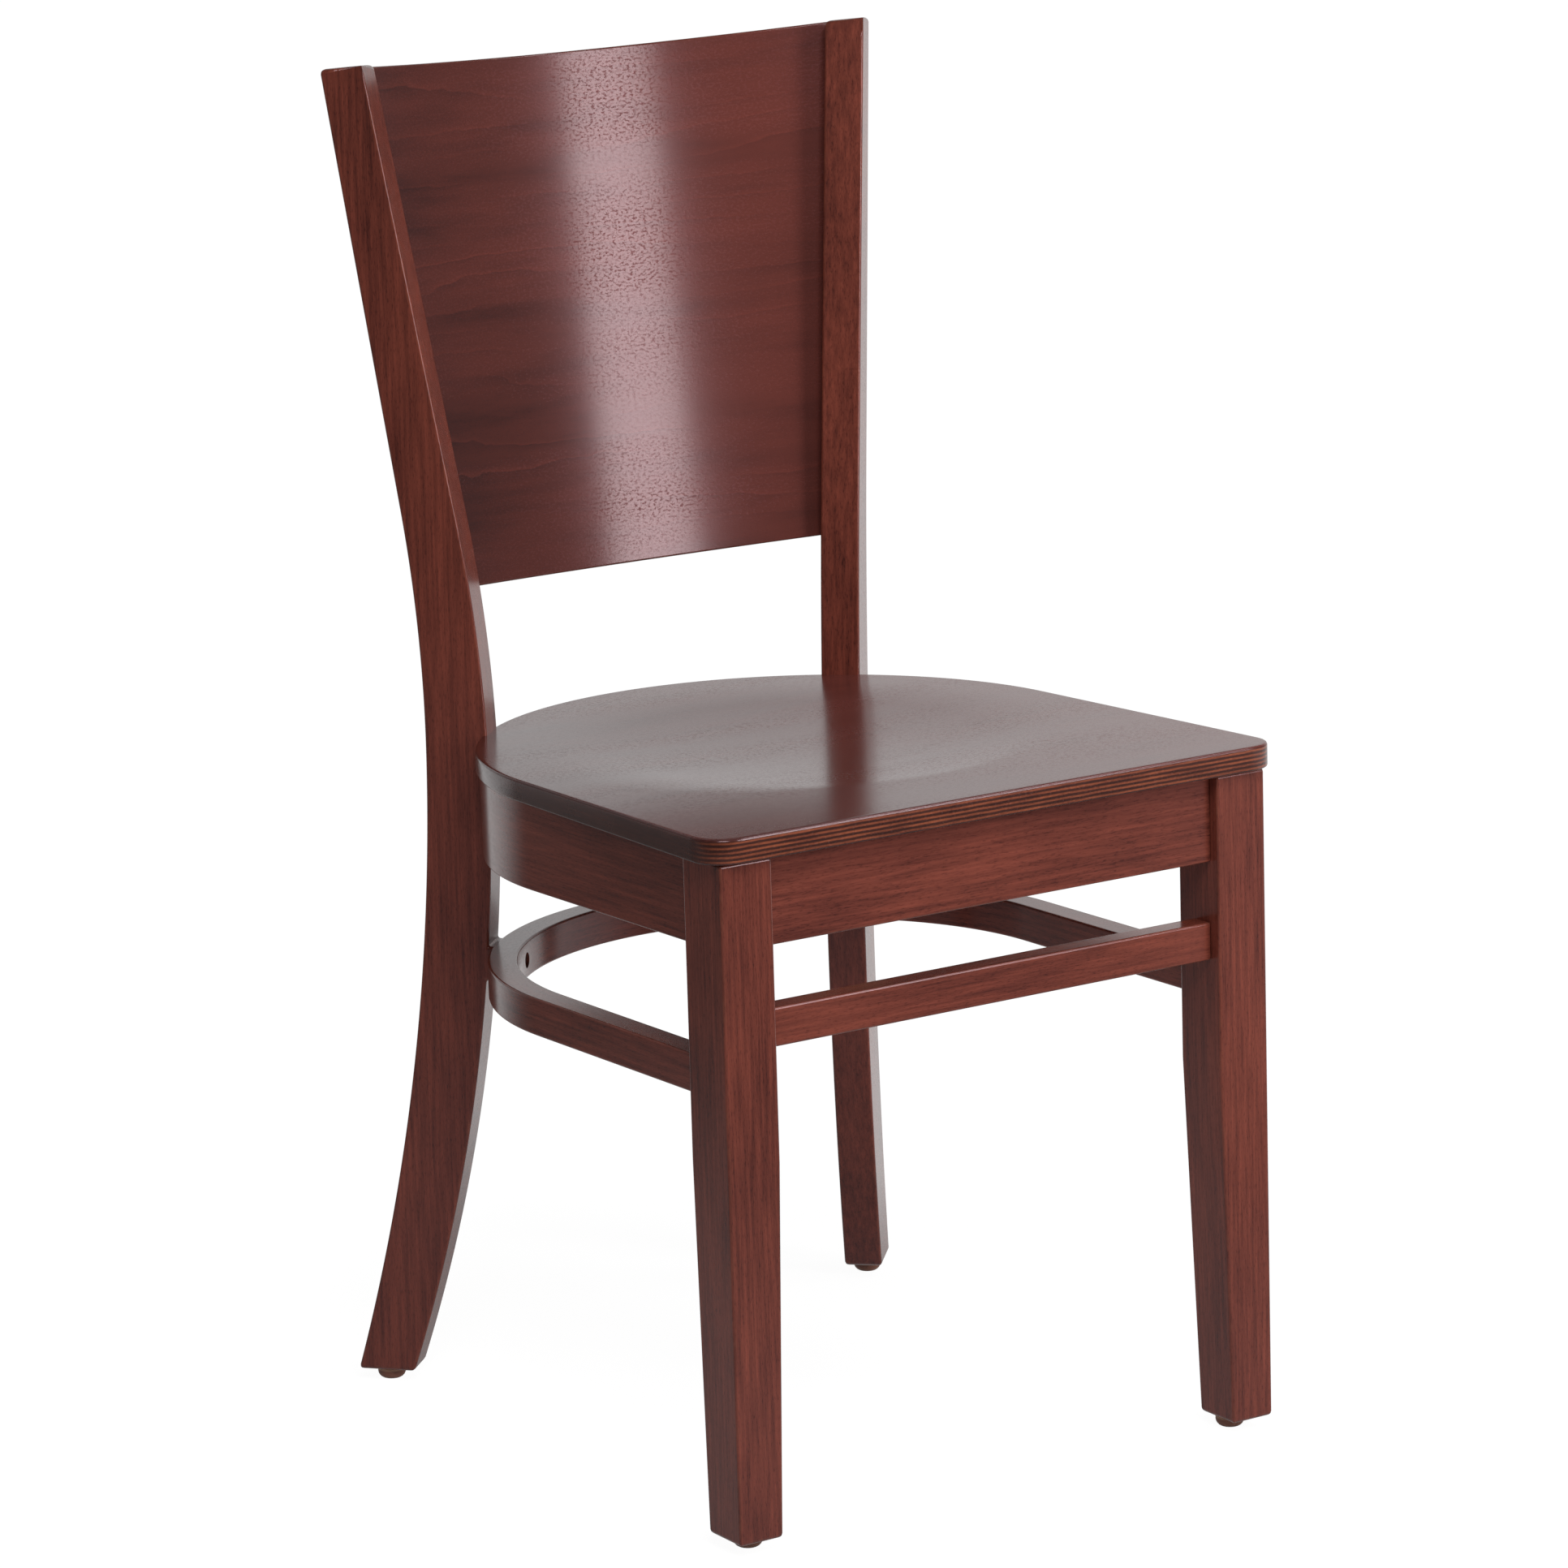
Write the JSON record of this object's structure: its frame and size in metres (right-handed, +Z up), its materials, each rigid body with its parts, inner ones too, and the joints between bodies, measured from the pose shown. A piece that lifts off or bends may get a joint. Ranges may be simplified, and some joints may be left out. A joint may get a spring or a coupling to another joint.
{
  "type": "dining chair",
  "caption": "Rigid wooden dining chair with a dished seat on a bentwood frame, tapered front legs, sawn curved back posts and one solid bent back panel.",
  "frame": {"origin": "on the floor, under the middle of the chair's bounding box", "axes": "+Z up; the sitter faces -Y, so the back is at +Y; +X to the right as seen from the front; the chair is mirror-symmetric about X = 0"},
  "size_m": [0.4394, 0.5092, 0.892],
  "materials": {
    "stained_wood": "mahogany stain under semi-gloss lacquer",
    "seat_ply": "mahogany stained plywood under semi-gloss lacquer, plies visible at the edge",
    "panel_ply": "mahogany stained bent plywood under semi-gloss lacquer",
    "plain_wood": "unfinished beech",
    "steel": "zinc plated",
    "brass": "plain",
    "glide_plastic": "moulded, matte brown"
  },
  "bodies": {
    "root": {"seat": "seat_ply", "apron": "stained_wood", "front_rail": "stained_wood", "front_leg_left": "stained_wood", "front_leg_right": "stained_wood", "back_post_left": "stained_wood", "back_post_right": "stained_wood", "back_panel": "panel_ply", "stretcher_ring": "stained_wood", "front_stretcher": "stained_wood", "rail_dowels": "plain_wood", "stretcher_dowels": "plain_wood", "apron_dowels": "plain_wood", "ring_dowels": "plain_wood", "front_block_left": "plain_wood", "front_block_right": "plain_wood", "rear_block_left": "plain_wood", "rear_block_right": "plain_wood", "apron_bolts": "steel", "ring_bolts": "steel", "bolt_washers": "steel", "post_inserts": "brass", "leg_screws": "steel", "seat_screws": "steel", "glide_front_left": "glide_plastic", "glide_front_right": "glide_plastic", "glide_back_left": "glide_plastic", "glide_back_right": "glide_plastic", "glide_nails": "steel"}
  },
  "joints": []
}
